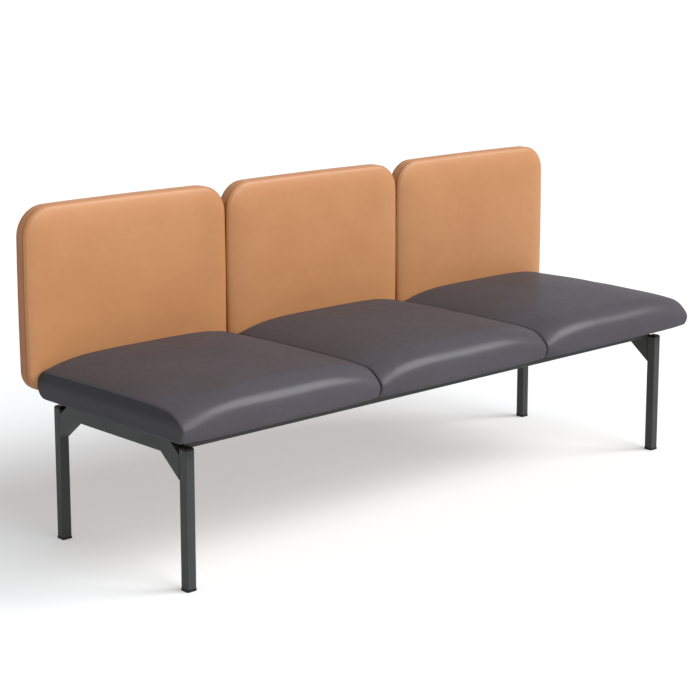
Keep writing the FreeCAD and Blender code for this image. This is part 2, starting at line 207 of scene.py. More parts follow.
charcoalLeather = {
    **hide,
    "colour": rgb(79, 77, 83),
    "deepColour": rgb(75, 72, 76),
    # Painted shade: the side panels turn away from the lamps, so their colour is much darker than the
    # top's.
    "stripShadeColour": rgb(42, 40, 43),
    "seamColour": rgb(34, 32, 36),
    "roughness": 0.62,
    "specular": 0.05,
    "gloss": 0.085,
    "glossRoughness": 0.25,
    "glossIor": 2.6,
}


# Grain is small cells broken by noise, over broad faint blotches of a deeper tone. The strip
# share marks a boxing or side panel, where the strip colour paints the shade of faces turned from
# the lamps, and seamNear is the line of a seam. A thin dressing gives the narrow gloss over a
# matt hide.
def leatherMaterial(name, look):
    paint = newPaint(name)
    place = paint.objectPlace()
    blotch = paint.noise(place, look["blotchScale"], *look["blotchDetails"])
    blotch = paint.between(blotch, *look["blotchRange"])
    mottle = paint.noise(place, look["mottleScale"], *look["mottleDetails"])
    mottle = paint.between(mottle, *look["mottleRange"])
    shade = blotch * look["blotchShare"] + mottle * look["mottleShare"]
    tone = paint.blend(shade, look["colour"], look["deepColour"])
    # Painted shade: the strip colour darkens a boxing or side panel.
    tone = paint.blend(paint.attribute("stripShade"), tone, look["stripShadeColour"])
    seam = paint.attribute("seamNear")
    tone = paint.blend(seam * look["seamShare"], tone, look["seamColour"])
    pores = paint.between(paint.cells(place, look["poreScale"]), *look["poreRange"])
    fine = paint.noise(place, look["fineScale"], *look["fineDetails"])
    grain = pores * look["poreShare"] + fine * look["fineShare"]
    rough = look["roughness"] + paint.swing(mottle, look["mottleRoughness"])
    rough = rough + paint.swing(fine, look["fineRoughness"]) + seam * look["seamRoughness"]
    return paint.surface({
        "Base Color": tone,
        "Roughness": rough,
        "Normal": paint.bump(grain, look["grainStrength"], look["grainDepth"]),
        "Specular IOR Level": look["specular"],
        "Coat Weight": look["gloss"],
        "Coat Roughness": look["glossRoughness"],
        "Coat IOR": look["glossIor"],
    })


powderCoat = {
    "colour": rgb(62, 63, 63),
    "darker": 0.9,
    "roughness": 0.5,
    "specular": 0.3,
    "cloudScale": 12.0,
    "cloudDetails": (3.0, 0.6),
    "cloudRange": (0.35, 0.7),
    "cloudRoughness": 0.12,
    "peelScale": 620.0,
    "peelRoughness": 0.08,
    "peelStrength": 0.25,
    "peelDepth": 0.0002,
}


# Baked paint: a fine orange peel over slow changes of tone.
def powderCoatMaterial(name, look):
    paint = newPaint(name)
    place = paint.objectPlace()
    cloud = paint.noise(place, look["cloudScale"], *look["cloudDetails"])
    peel = paint.noise(place, look["peelScale"])
    share = paint.between(cloud, *look["cloudRange"])
    rough = look["roughness"] + paint.swing(cloud, look["cloudRoughness"])
    return paint.surface({
        "Base Color": paint.blend(share, look["colour"], toned(look["colour"], look["darker"])),
        "Roughness": rough + paint.swing(peel, look["peelRoughness"]),
        "Normal": paint.bump(peel, look["peelStrength"], look["peelDepth"]),
        "Specular IOR Level": look["specular"],
    })


blackPlastic = {
    "colour": rgb(16, 16, 17),
    "paler": 1.4,
    "roughness": 0.55,
    "specular": 0.25,
    "cloudScale": 60.0,
    "cloudRoughness": 0.14,
    "sparkScale": 1500.0,
    "sparkDetails": (2.0, 0.6),
    "sparkStrength": 0.3,
    "sparkDepth": 0.0001,
}


# Moulded plastic with a fine spark-eroded texture.
def plasticMaterial(name, look):
    paint = newPaint(name)
    place = paint.objectPlace()
    spark = paint.noise(place, look["sparkScale"], *look["sparkDetails"])
    cloud = paint.noise(place, look["cloudScale"])
    return paint.surface({
        "Base Color": paint.blend(cloud, look["colour"], toned(look["colour"], look["paler"])),
        "Roughness": look["roughness"] + paint.swing(cloud, look["cloudRoughness"]),
        "Normal": paint.bump(spark, look["sparkStrength"], look["sparkDepth"]),
        "Specular IOR Level": look["specular"],
    })


birchPlywood = {
    "pale": rgb(206, 174, 130),
    "dark": rgb(176, 139, 94),
    "stretch": (2.0, 40.0, 40.0),
    "roughness": 0.55,
    "grainScale": 6.0,
    "grainDetails": (5.0, 0.65, 0.6),
    "grainRange": (0.3, 0.7),
    "grainShare": 0.75,
    "fleckScale": 40.0,
    "fleckDetails": (3.0, 0.6),
    "fleckShare": 0.25,
    "fleckRoughness": 0.15,
    "fleckStrength": 0.3,
    "fleckDepth": 0.0002,
}


# Long grain along the bench, with short flecks in it.
def plywoodMaterial(name, look):
    paint = newPaint(name)
    place = paint.objectPlace()
    stretched = paint.node("ShaderNodeMapping", {}, {"Vector": place, "Scale": look["stretch"]})
    grain = paint.noise(stretched, look["grainScale"], *look["grainDetails"])
    grain = paint.between(grain, *look["grainRange"])
    flecks = paint.noise(stretched, look["fleckScale"], *look["fleckDetails"])
    share = grain * look["grainShare"] + flecks * look["fleckShare"]
    return paint.surface({
        "Base Color": paint.blend(share, look["pale"], look["dark"]),
        "Roughness": look["roughness"] + paint.swing(flecks, look["fleckRoughness"]),
        "Normal": paint.bump(flecks, look["fleckStrength"], look["fleckDepth"]),
    })


# What the two steels share.
handled = {
    "darker": 0.75,
    "markScale": 220.0,
    "markDetails": (4.0, 0.6),
    "markRange": (0.35, 0.7),
    "markRoughness": 0.2,
    "markStrength": 0.2,
    "markDepth": 0.00005,
}

zincSteel = {**handled, "colour": (0.62, 0.62, 0.60, 1.0), "roughness": 0.38, "metallic": 1.0}
blackSteel = {**handled, "colour": (0.03, 0.03, 0.032, 1.0), "roughness": 0.42, "metallic": 0.0}


# Plated or blackened steel with faint handling marks.
def metalMaterial(name, look):
    paint = newPaint(name)
    place = paint.objectPlace()
    marks = paint.noise(place, look["markScale"], *look["markDetails"])
    share = paint.between(marks, *look["markRange"])
    return paint.surface({
        "Base Color": paint.blend(share, look["colour"], toned(look["colour"], look["darker"])),
        "Roughness": look["roughness"] + paint.swing(marks, look["markRoughness"]),
        "Metallic": look["metallic"],
        "Normal": paint.bump(marks, look["markStrength"], look["markDepth"]),
    })


finishes = {
    "back_leather": leatherMaterial("tanLeather", tanLeather),
    "seat_leather": leatherMaterial("charcoalLeather", charcoalLeather),
    "frame_paint": powderCoatMaterial("powderCoat", powderCoat),
    "black_plastic": plasticMaterial("blackPlastic", blackPlastic),
    "plywood": plywoodMaterial("birchPlywood", birchPlywood),
    "zinc_steel": metalMaterial("zincSteel", zincSteel),
    "black_steel": metalMaterial("blackSteel", blackSteel),
}

for subpart in frame["record"]["subparts"]:
    node = nodes[subpart["node"]]
    node.data.materials.clear()
    node.data.materials.append(finishes[subpart["material_slot"]])
print("bench: finishes made")


# Surfaces worked out on grids

# Arrows of length 1.
def unit(arrows):
    return arrows / np.linalg.norm(arrows, axis=-1, keepdims=True)


# Even shares from 0 up to 1, without the 1.
def steps(count):
    return np.arange(count)[:, None] / count


# 0 below low and 1 above high, with a smooth cubic step between.
def eased(values, low, high):
    share = np.clip((values - low) / (high - low), 0, 1)
    return share * share * (3 - 2 * share)


# A closed polygon with its corners rounded, for many sections at once. Each corner is a
# tangent arc: its points are the arc's centre plus the radius times a direction that turns
# evenly from one tangent point to the other. Straight stretches are shares of a line.
def roundedRings(corners, radii, arcSteps, lineSteps):
    count = corners.shape[1]
    starts, ends, arcs = [], [], []
    for index in range(count):
        corner = corners[:, index]
        back = unit(corners[:, index - 1] - corner)
        ahead = unit(corners[:, (index + 1) % count] - corner)
        half = np.arccos(np.clip((back * ahead).sum(-1, keepdims=True), -1, 1)) / 2
        reach = radii[index] / np.tan(half)
        centre = corner + unit(back + ahead) * radii[index] / np.sin(half)
        start, end = corner + back * reach, corner + ahead * reach
        turn = (math.pi - 2 * half)[:, None]
        share = steps(arcSteps[index])[None]
        first, last = unit(start - centre)[:, None], unit(end - centre)[:, None]
        way = (np.sin((1 - share) * turn) * first + np.sin(share * turn) * last) / np.sin(turn)
        starts.append(start)
        ends.append(end)
        arcs.append(centre[:, None] + radii[index] * way)
    parts = []
    for index in range(count):
        share = steps(lineSteps[index])[None]
        line = ends[index][:, None] * (1 - share) + starts[(index + 1) % count][:, None] * share
        parts += [arcs[index], line]
    return np.concatenate(parts, axis=1)


# Moves each point of a closed flat ring inwards by its inset, square to the ring.
def insetRing(ring, inset):
    along = np.roll(ring, -1, axis=-2) - np.roll(ring, 1, axis=-2)
    inwards = unit(np.stack([-along[..., 1], along[..., 0]], axis=-1))
    return ring + inwards * inset


# A grid between four edges: the two straight blends between facing edges are added, and the
# blend of the four corners is taken away. Edges run along the first and second parameter.
def patch(low, high, near, far):
    across = np.linspace(0, 1, len(low))[:, None, None]
    along = np.linspace(0, 1, len(near))[None, :, None]
    sides = (1 - along) * low[:, None] + along * high[:, None]
    ends = (1 - across) * near[None] + across * far[None]
    corners = (1 - across) * ((1 - along) * low[0] + along * high[0])
    corners = corners + across * ((1 - along) * low[-1] + along * high[-1])
    return sides + ends - corners


# Numbers of the ring's points along the four edges of an end patch, and their places.
def patchNumbers(splits, count):
    a, b, c, d = splits
    low = np.arange(a, b + 1) % count
    far = np.arange(b, c + 1) % count
    high = np.arange(c, d + 1)[::-1] % count
    near = np.arange(d, a + count + 1)[::-1] % count
    return low, high, near, far


# The four-sided faces of a grid of point numbers.
def gridFaces(numbers):
    corners = [numbers[:-1, :-1], numbers[1:, :-1], numbers[1:, 1:], numbers[:-1, 1:]]
    return np.stack(corners, axis=-1).reshape(-1, 4)


# A closed form: rings of points joined by strips, with a four-edged patch over each end. A dish
# moves the middle of a patch inwards along the first axis, by the root of one half wave times
# the other. Returns the points, the faces and the number of ring points. The rings come as
# rings x points x 3.
def closedForm(rings, splits, dish=0.0):
    layers, count = rings.shape[:2]
    numbers = np.arange(layers * count).reshape(layers, count)
    wrapped = np.concatenate([numbers, numbers[:, :1]], axis=1)
    points, faces = [rings.reshape(-1, 3)], [gridFaces(wrapped)]
    total = layers * count
    for layer, side in ((0, 1), (layers - 1, -1)):
        low, high, near, far = patchNumbers(splits, count)
        ring = rings[layer]
        grid = patch(ring[low], ring[high], ring[near], ring[far])
        wide, deep = grid.shape[:2]
        across, along = np.linspace(0, math.pi, wide), np.linspace(0, math.pi, deep)
        waves = np.outer(np.sin(across), np.sin(along))
        grid[..., 0] += side * dish * np.sqrt(np.maximum(waves, 0))
        ids = np.zeros((wide, deep), int)
        ids[:, 0], ids[:, -1] = low + layer * count, high + layer * count
        ids[0, :], ids[-1, :] = near + layer * count, far + layer * count
        inner = (wide - 2) * (deep - 2)
        ids[1:-1, 1:-1] = total + np.arange(inner).reshape(wide - 2, deep - 2)
        points.append(grid[1:-1, 1:-1].reshape(-1, 3))
        faces.append(gridFaces(ids))
        total += inner
    return np.concatenate(points), np.concatenate(faces), layers * count


# A smooth object with one material, and with all its faces turned outwards.
def makePiece(name, points, faces, material):
    mesh = bpy.data.meshes.new(name)
    mesh.from_pydata(points.tolist(), [], faces.tolist())
    shell = bmesh.new()
    shell.from_mesh(mesh)
    bmesh.ops.recalc_face_normals(shell, faces=shell.faces[:])
    shell.to_mesh(mesh)
    shell.free()
    mesh.shade_smooth()
    mesh.materials.append(material)
    piece = bpy.data.objects.new(name, mesh)
    bpy.context.scene.collection.objects.link(piece)
    return piece


def readPoints(mesh):
    points = np.empty(len(mesh.vertices) * 3, np.float32)
    mesh.vertices.foreach_get("co", points)
    return points.reshape(-1, 3).astype(float)


def writePoints(mesh, points):
    mesh.vertices.foreach_set("co", points.astype(np.float32).ravel())
    mesh.update()


# Keeps one value for each point, which a material reads by its name.
def addShare(mesh, name, values):
    attribute = mesh.attributes.new(name, "FLOAT", "POINT")
    attribute.data.foreach_set("value", values.astype(np.float32))


def addSubdivision(piece):
    smoother = piece.modifiers.new("smoother", "SUBSURF")
    smoother.levels = 1
    smoother.render_levels = 1


# Covers

# What both covers share, for the cloth that blows them up.
coverCloth = {
    "quality": 6,
    "mass": 0.4,
    "tension": 30.0,
    "shear": 10.0,
    "bending": 3.0,
    "damping": 25.0,
    "airDamping": 4.0,
    "pressure": 4.0,
    "frames": 20,
    "cap": 0.022,
    "heldBelow": 0.01,
}


# Evens out moves over a mesh: each round brings a point's move halfway to the mean of its
# neighbours' moves.
def evened(mesh, moves, rounds):
    ends = np.empty(len(mesh.edges) * 2, np.int32)
    mesh.edges.foreach_get("vertices", ends)
    ends = ends.reshape(-1, 2)
    here, there = np.concatenate([ends, ends[:, ::-1]]).T
    neighbours = np.bincount(here, minlength=len(moves))[:, None]
    for _ in range(rounds):
        sums = [np.bincount(here, moves[there, axis], len(moves)) for axis in range(3)]
        moves = 0.5 * (moves + np.stack(sums, -1) / neighbours)
    return moves


# Blows a closed cover up against its seams. Freedom is 0 for a held point and up to 1 for a
# free one: it scales the share of the simulated way that the point takes, up to the cap.
def inflate(piece, freedom, settings):
    start = readPoints(piece.data)
    group = piece.vertex_groups.new(name="held")
    group.add(np.flatnonzero(freedom < settings["heldBelow"]).tolist(), 1.0, "REPLACE")
    cloth = piece.modifiers.new("cover", "CLOTH")
    cover = cloth.settings
    cover.vertex_group_mass = "held"
    cover.quality = settings["quality"]
    cover.mass = settings["mass"]
    cover.tension_stiffness = settings["tension"]
    cover.compression_stiffness = settings["tension"]
    cover.shear_stiffness = settings["shear"]
    cover.bending_stiffness = settings["bending"]
    cover.tension_damping = settings["damping"]
    cover.air_damping = settings["airDamping"]
    cover.use_pressure = True
    cover.uniform_pressure_force = settings["pressure"]
    cover.effector_weights.gravity = 0.0
    cloth.collision_settings.use_collision = False
    scene = bpy.context.scene
    for number in range(1, settings["frames"] + 1):
        scene.frame_set(number)
    moved = piece.evaluated_get(bpy.context.evaluated_depsgraph_get())
    swollen = readPoints(moved.data)
    piece.modifiers.remove(cloth)
    piece.vertex_groups.remove(group)
    scene.frame_set(1)
    way = evened(piece.data, swollen - start, settings["rounds"]) * settings["share"]
    nearNothing = 1e-9  # keeps a point that doesn't move out of a division by 0
    length = np.maximum(np.linalg.norm(way, axis=1, keepdims=True), nearNothing)
    way *= np.minimum(1.0, settings["cap"] / length) * freedom[:, None]
    most = round(float(np.linalg.norm(way, axis=1).max()) * 1000, 1)
    print("bench:", piece.name, "cover moved by at most", most, "mm")
    return start + way


# Seats

seatShape = {
    "seamHeight": 0.073,  # side seam above the underside
    "noseBulge": 0.005,
    "crownRise": 0.030,
    "crownPower": 4.6,
    "rearDrop": 0.003,
    "crestLift": 0.002,
    "crestOffset": 0.028,
    "rearShare": 0.95,
    "frontShare": 0.6,
    "noseFall": 0.008,  # how much lower the top of the nose lies at a side panel
    "noseFallPower": 5,
    "noseFallReach": 0.12,
    "noseFallHeights": (0.018, 0.060),
    "footDraw": 0.008,  # how far the foot of the nose draws back at a side panel
    "footHeight": 0.036,
    "footReach": 0.030,
    "rearDraw": 0.0085,  # the rear lies this much further forward between the side panels
    "rearDrawPower": 16,
    "radii": (0.028, 0.036, 2.6, 0.058, 0.014),
    "arcSteps": (6, 10, 48, 16, 6),
    "lineSteps": (6, 10, 8),  # rear, rear top, front top
    "widthSteps": 68,
    "edgeRadius": 0.005,
    "edgeTurn": 78.0,  # degrees of the rounded edge before the seam
    "edgeSteps": 7,
    "seamDepth": 0.0012,
    "seamWidth": 0.0011,
    "seamInsets": (0.5, 1.0, 2.5),  # in seam widths: the groove, the panel's rim and its face
    "seamTones": (0.0, 0.25, 1.0, 0.25, 0.0),  # for the rings from the panel's face inwards
    "seamFade": (0.006, 0.030),
    "panelRows": 2,  # how many of those rings lie on the side panel
    "panelDish": 0.003,
    "panelShade": 0.45,  # the strip's share low on the panel: a painted shade, fainter here than under the rounded top edge
    "panelShadeHeights": (0.026, 0.052),
    "boardGap": 0.0003,
    "boardHeadroom": 0.0008,
    "rearFreedom": (0.012, 0.070),  # the cover swells little this near to its rear
    "bottomFreedom": (0.018, 0.045),
}

seatCover = {**coverCloth, "rounds": 60, "share": 0.5}


# The side outline of a seat for an array of shares, from its side panel (0) to its full
# crown (1): five corners in depth and height, rear foot first, with heights that are the
# seam's height plus a part of the crown's rise times the share.
def seatCorners(share, rear, front, bottom, middle):
    shape = seatShape
    seam = bottom + shape["seamHeight"]
    crown = shape["crownRise"] * share
    nose = front - shape["noseBulge"] * share
    level = np.zeros_like(share)
    return np.stack([
        np.stack([rear, level + bottom], -1),
        np.stack([rear, seam - shape["rearDrop"] + shape["rearShare"] * crown], -1),
        np.stack([level + middle, seam + shape["crestLift"] + crown], -1),
        np.stack([nose, seam + shape["frontShare"] * crown], -1),
        np.stack([nose, level + bottom], -1),
    ], axis=1)


# Moves the two places of a rising row that are nearest to an edge to both sides of it.
def snapped(row, edge, gap):
    first = int(np.clip(np.searchsorted(row, edge) - 1, 0, len(row) - 2))
    row[first], row[first + 1] = edge - gap, edge + gap
    return row


# Raises the points of the underside that lie over the board, which leaves a room with steep
# walls. The underside is a part of each section that runs from the front to the rear.
def hollowForBoard(rings, across, underside, board):
    low, high = board
    gap = seatShape["boardGap"]
    near, far = low.y - gap, high.y + gap
    ceiling = high.z + seatShape["boardHeadroom"]
    for ring, x in zip(rings, across):
        if abs(x) > high.x + gap:
            continue
        depth, height = ring[underside].T
        placed = snapped(snapped(depth.copy(), near, gap), far, gap)
        level = np.interp(placed, depth, height)
        level[(placed > near) & (placed < far)] = ceiling
        ring[underside] = np.stack([placed, level], -1)


# Steps on the five straight stretches of a section. The front and the underside get as many
# as make facing edges of a side panel's patch equal.
def seatLineSteps():
    foot, rearTurn, crown, nose, toe = seatShape["arcSteps"]
    rear, rearTop, frontTop = seatShape["lineSteps"]
    top = rearTurn // 2 + rearTop + crown + frontTop + nose // 2
    front = foot // 2 + rear + rearTurn // 2 - nose // 2 - toe // 2
    return rear, rearTop, frontTop, front, top - toe // 2 - foot // 2


# Places of the sections across a seat: even in the middle, with two beside each edge of the
# board, and by even turns of an arc at both ends, where the cover goes over to a side panel.
def seatAcross(half, boardEdge):
    edge = seatShape["edgeRadius"]
    turn = np.linspace(0, math.radians(seatShape["edgeTurn"]), seatShape["edgeSteps"])
    rim = half - edge + edge * np.sin(turn)
    even = np.linspace(-1, 1, seatShape["widthSteps"] + 1) * (half - edge)
    for side in (-1, 1):
        even = snapped(even, side * boardEdge, seatShape["boardGap"])
    return np.concatenate([-rim[:0:-1], even, rim[1:]])


# The rounded sections of a seat. The crown is full less a power of the way out to a panel.
# Near the panels the top of the nose falls away and its foot draws back, and the last
# sections shrink by the sagitta of the edge's arc.
def seatSections(across, low, high, lines):
    shape = seatShape
    half = (high.x - low.x) / 2
    front = low.y + shape["noseBulge"]
    out = np.abs(across) / half
    rear = high.y - shape["rearDraw"] * (1 - out ** shape["rearDrawPower"])
    middle = (high.y + front) / 2 + shape["crestOffset"]
    corners = seatCorners(1 - out ** shape["crownPower"], rear, front, low.z, middle)
    rings = roundedRings(corners, shape["radii"], shape["arcSteps"], lines)
    nearPanel = out[:, None] ** shape["noseFallPower"]
    ahead = 1 - eased(rings[..., 0] - front, 0, shape["noseFallReach"])
    above = eased(rings[..., 1] - low.z, *shape["noseFallHeights"])
    rings[..., 1] -= shape["noseFall"] * nearPanel * ahead * above
    ahead = 1 - eased(rings[..., 0] - front, 0, shape["footReach"])
    below = 1 - eased(rings[..., 1] - low.z, 0, shape["footHeight"])
    rings[..., 0] += shape["footDraw"] * nearPanel * ahead * below
    edge = shape["edgeRadius"]
    pull = edge - np.sqrt(edge ** 2 - np.maximum(np.abs(across) - half + edge, 0) ** 2)
    return insetRing(rings, pull[:, None, None])


# The seam and the side panel's edge: copies of the last section, each inset by some widths of
# the seam, the first of them sunk as a fine groove.
def panelRings(section, reach):
    shape = seatShape
    rings = []
    for place, widths in zip((reach - shape["seamDepth"], reach, reach), shape["seamInsets"]):
        flat = insetRing(section[None], widths * shape["seamWidth"])[0]
        rings.append(np.concatenate([np.full((len(flat), 1), place), flat], -1))
    return np.array(rings)


# Shares for the finish, and how free each point is to swell. The seam and the panel's full
# strip show at the top and front; the strip is a painted shade, darkest high on the panel, under
# the rounded edge, and fainter low on it. The seam's rings and the panels are held.
def seatShares(points, ringPoints, ringSize, low, high):
    shape = seatShape
    seamNear, stripShade = np.zeros(len(points)), np.zeros(len(points))
    height = points[:, 2] - low.z
    freedom = eased(high.y - points[:, 1], *shape["rearFreedom"])
    freedom *= eased(height, *shape["bottomFreedom"])
    for layer, tone in enumerate(shape["seamTones"]):
        for first in (layer * ringSize, ringPoints - (layer + 1) * ringSize):
            ring = slice(first, first + ringSize)
            seamNear[ring] = tone
            stripShade[ring] = layer < shape["panelRows"]
            freedom[ring] = 0.0
    stripShade[ringPoints:] = 1.0
    freedom[ringPoints:] = 0.0
    seamNear *= eased(height, *shape["seamFade"])
    # Painted shade: the side panel is darkest high up, under the rounded edge, and lighter low down.
    leastShade = shape["panelShade"]
    stripShade *= leastShade + (1 - leastShade) * eased(height, *shape["panelShadeHeights"])
    return {"seamNear": seamNear, "stripShade": stripShade}, freedom


# A seat from one side panel to the other, with the splits of a section in the middles of the
# four arcs that are the corners of a panel.
def seatForm(low, high, board):
    arcs, lines = seatShape["arcSteps"], seatLineSteps()
    across = seatAcross((high.x - low.x) / 2, board[1].x + seatShape["boardGap"])
    rings = seatSections(across, low, high, lines)
    count = rings.shape[1]
    underside = np.r_[count - lines[-1]:count, 0:arcs[0] // 2 + 1]
    hollowForBoard(rings, across, underside, board)
    places = np.broadcast_to(across[:, None, None], (len(across), count, 1))
    wrap = np.concatenate([places, rings], -1)
    panel = panelRings(rings[-1], across[-1])
    mirrored = (panel * np.array([-1.0, 1.0, 1.0]))[::-1]
    layers = np.concatenate([mirrored, wrap, panel])
    rearTurn = arcs[0] + lines[0]
    nose = rearTurn + arcs[1] + lines[1] + arcs[2] + lines[2]
    toe = nose + arcs[3] + lines[3]
    splits = (arcs[0] // 2, rearTurn + arcs[1] // 2, nose + arcs[3] // 2, toe + arcs[4] // 2)
    points, faces, ringPoints = closedForm(layers, splits, seatShape["panelDish"])
    shares, freedom = seatShares(points, ringPoints, count, low, high)
    return points, faces, shares, freedom


# Blows up one cover and sets a copy of it in each of three places, as a padded piece.
def makePads(form, cover, cadName, padName, slotName):
    points, faces, shares, freedom = form
    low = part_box(cadName + "_middle")[0]
    first = makePiece(padName + "Trial", points, faces, finishes[slotName])
    points = inflate(first, freedom, cover)
    for place in ("left", "middle", "right"):
        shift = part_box(cadName + "_" + place)[0].x - low.x
        mesh = first.data.copy()
        writePoints(mesh, points + np.array([shift, 0, 0]))
        for name, values in shares.items():
            addShare(mesh, name, values)
        piece = bpy.data.objects.new(padName + "_" + place, mesh)
        bpy.context.scene.collection.objects.link(piece)
        addSubdivision(piece)
        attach(piece, "root")
        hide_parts(cadName + "_" + place)
    bpy.data.objects.remove(first)
    print("bench:", padName, "made three times,", len(points), "points each")


seatLow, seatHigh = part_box("seat_cushion_middle")
makePads(
    seatForm(seatLow, seatHigh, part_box("seat_board_middle")),
    seatCover, "seat_cushion", "seat_pad", "seat_leather",
)


# Backs

backShape = {
    "upperRadius": 0.072,
    "lowerRadius": 0.050,
    "sideBow": 0.0025,
    "crownRise": 0.008,
    "crownReach": 0.20,
    "rollRise": 0.0115,  # the firm edge roll, beside the wide crown
    "rollReach": 0.062,
    "radiusShare": 0.25,
    "leastRadius": 0.012,
    "softness": 0.06,
    "boxingDepth": 0.028,
    "rearRound": 0.006,
    "rearLip": 0.0135,
    "roomDepth": 0.0163,
    "frontTurns": 30,
    "stitchRow": 3,  # rows of the front between its stitched line and the seam
    "stitchStrength": 0.45,
    "arcSteps": 14,
    "sideSteps": 54,
    "endSteps": 38,
    "boxingSteps": 4,
    "rearSteps": 5,
    "rearTurnStart": 0.3,  # share of the quarter turn
    "lipWidth": 0.002,
    "lipFall": 0.001,
    "floorInset": 0.03,
    "seamDepth": 0.0014,
    "seamWidth": 0.0012,
    # The boxing's painted shade fades out over this height below the top, by this share.
    "seamHalo": (0.1, 0.2),  # the seam's tone at the front's edge and beside a groove
    "shadeFade": 0.11,
    "shadeFadeShare": 0.8,
    "lowFreedom": (0.440, 0.520),  # the cover swells only above the seat
    "heldMargin": 0.001,
}

backCover = {**coverCloth, "rounds": 80, "share": 0.3}


# How far points of the flat rectangle lie inside its rounded outline. The two ways to the
# straight sides are joined by a soft maximum, so no crease runs along the diagonals.
def depthInside(x, z, halfWide, halfHigh, radius, softness):
    sideways = np.abs(x) - (halfWide - radius)
    upwards = np.abs(z) - (halfHigh - radius)
    outside = np.hypot(np.maximum(sideways, 0), np.maximum(upwards, 0))
    gap = np.maximum(softness - np.abs(sideways - upwards), 0) / softness
    soft = np.maximum(sideways, upwards) + gap ** 3 * softness / 6
    return radius - (outside + np.minimum(soft, 0))


# A rounded upright rectangle, with its lower corners first and then its upper ones.
def backRing(halfWide, halfHigh, lower, upper):
    corners = np.array([[
        [-halfWide, -halfHigh], [halfWide, -halfHigh], [halfWide, halfHigh], [-halfWide, halfHigh],
    ]])
    sides, ends = backShape["sideSteps"], backShape["endSteps"]
    arcs = (backShape["arcSteps"],) * 4
    return roundedRings(corners, (lower, lower, upper, upper), arcs, (sides, ends, sides, ends))[0]


# The rows of a back from its front edge to the rear: place, inset, seam and strip, the share of
# the boxing's painted shade. A fine groove for a seam runs along both edges of the boxing, and
# the lip closes the room behind.
def boxingRows(seam, rear):
    shape = backShape
    wide, turned = shape["seamWidth"], shape["rearRound"]
    edgeTone, sideTone = shape["seamHalo"]
    first, last = seam + 2 * wide, seam + shape["boxingDepth"] - wide
    grooves = []
    for middle in (first, last):
        deepest = (middle, shape["seamDepth"], 1.0, 1.0)
        grooves.append([(middle - wide, 0.0, sideTone, 1.0), deepest, (middle + wide, 0.0, sideTone, 1.0)])
    level = np.linspace(first + 3 * wide, last - 3 * wide, shape["boxingSteps"])
    rows = [(seam, 0.0, edgeTone, 0.0), *grooves[0]]
    rows += [(place, 0.0, 0.0, 1.0) for place in level] + grooves[1]
    for turn in np.linspace(shape["rearTurnStart"], 1.0, shape["rearSteps"]) * math.pi / 2:
        rows.append((rear - turned + turned * math.sin(turn), turned * (1 - math.cos(turn)), 0.0, 1.0))
    lip, floor = shape["rearLip"], rear - shape["roomDepth"]
    rows += [(rear, lip - shape["lipWidth"], 0.0, 1.0), (rear - shape["lipFall"], lip, 0.0, 1.0)]
    rows += [(floor, lip, 0.0, 0.0), (floor, lip + shape["floorInset"], 0.0, 0.0)]
    return rows


# The rows of the front, from its middle to the seam, in the same form but with no place. Their
# insets crowd at the seam as the heights of an ellipse's foot do.
def frontRows():
    shape = backShape
    turns = np.linspace(math.pi / 2, 0, shape["frontTurns"])[:-1]
    rows = [(None, shape["crownReach"] * (1 - math.cos(turn)), 0.0, 0.0) for turn in turns]
    stitch = len(rows) - shape["stitchRow"]
    rows[stitch] = (None, rows[stitch][1], shape["stitchStrength"], 0.0)
    return rows


# How far the front stands out before the seam: the sum of two quarter ellipses over the depth
# inside the outline, a wide crown and a narrow roll.
def frontRise(inside):
    crown = (backShape["crownRise"], backShape["crownReach"])
    roll = (backShape["rollRise"], backShape["rollReach"])
    total = np.zeros_like(inside)
    for rise, reach in (crown, roll):
        share = 1 - np.clip(inside / reach, 0, 1)
        total += rise * np.sqrt(1 - share ** 2)
    return total


# One ring of a back. Its four sides bow outwards, as a parabola does, and its corners shrink
# with the inset.
def backLayer(place, inset, seam, halfWide, halfHigh):
    shape = backShape
    full = (shape["lowerRadius"], shape["upperRadius"])
    radii = [max(radius - shape["radiusShare"] * inset, shape["leastRadius"]) for radius in full]
    ring = backRing(halfWide - inset, halfHigh - inset, *radii)
    x, z = ring[:, 0], ring[:, 1]
    if place is None:
        radius = np.where(z > 0, shape["upperRadius"], shape["lowerRadius"])
        inside = depthInside(x, z, halfWide, halfHigh, radius, shape["softness"])
        y = seam - frontRise(inside)
    else:
        y = np.full_like(x, place)
    bowX = x - x / halfWide * shape["sideBow"] * (z / halfHigh) ** 2
    bowZ = z - z / halfHigh * shape["sideBow"] * (x / halfWide) ** 2
    return np.stack([bowX, y, bowZ], -1)


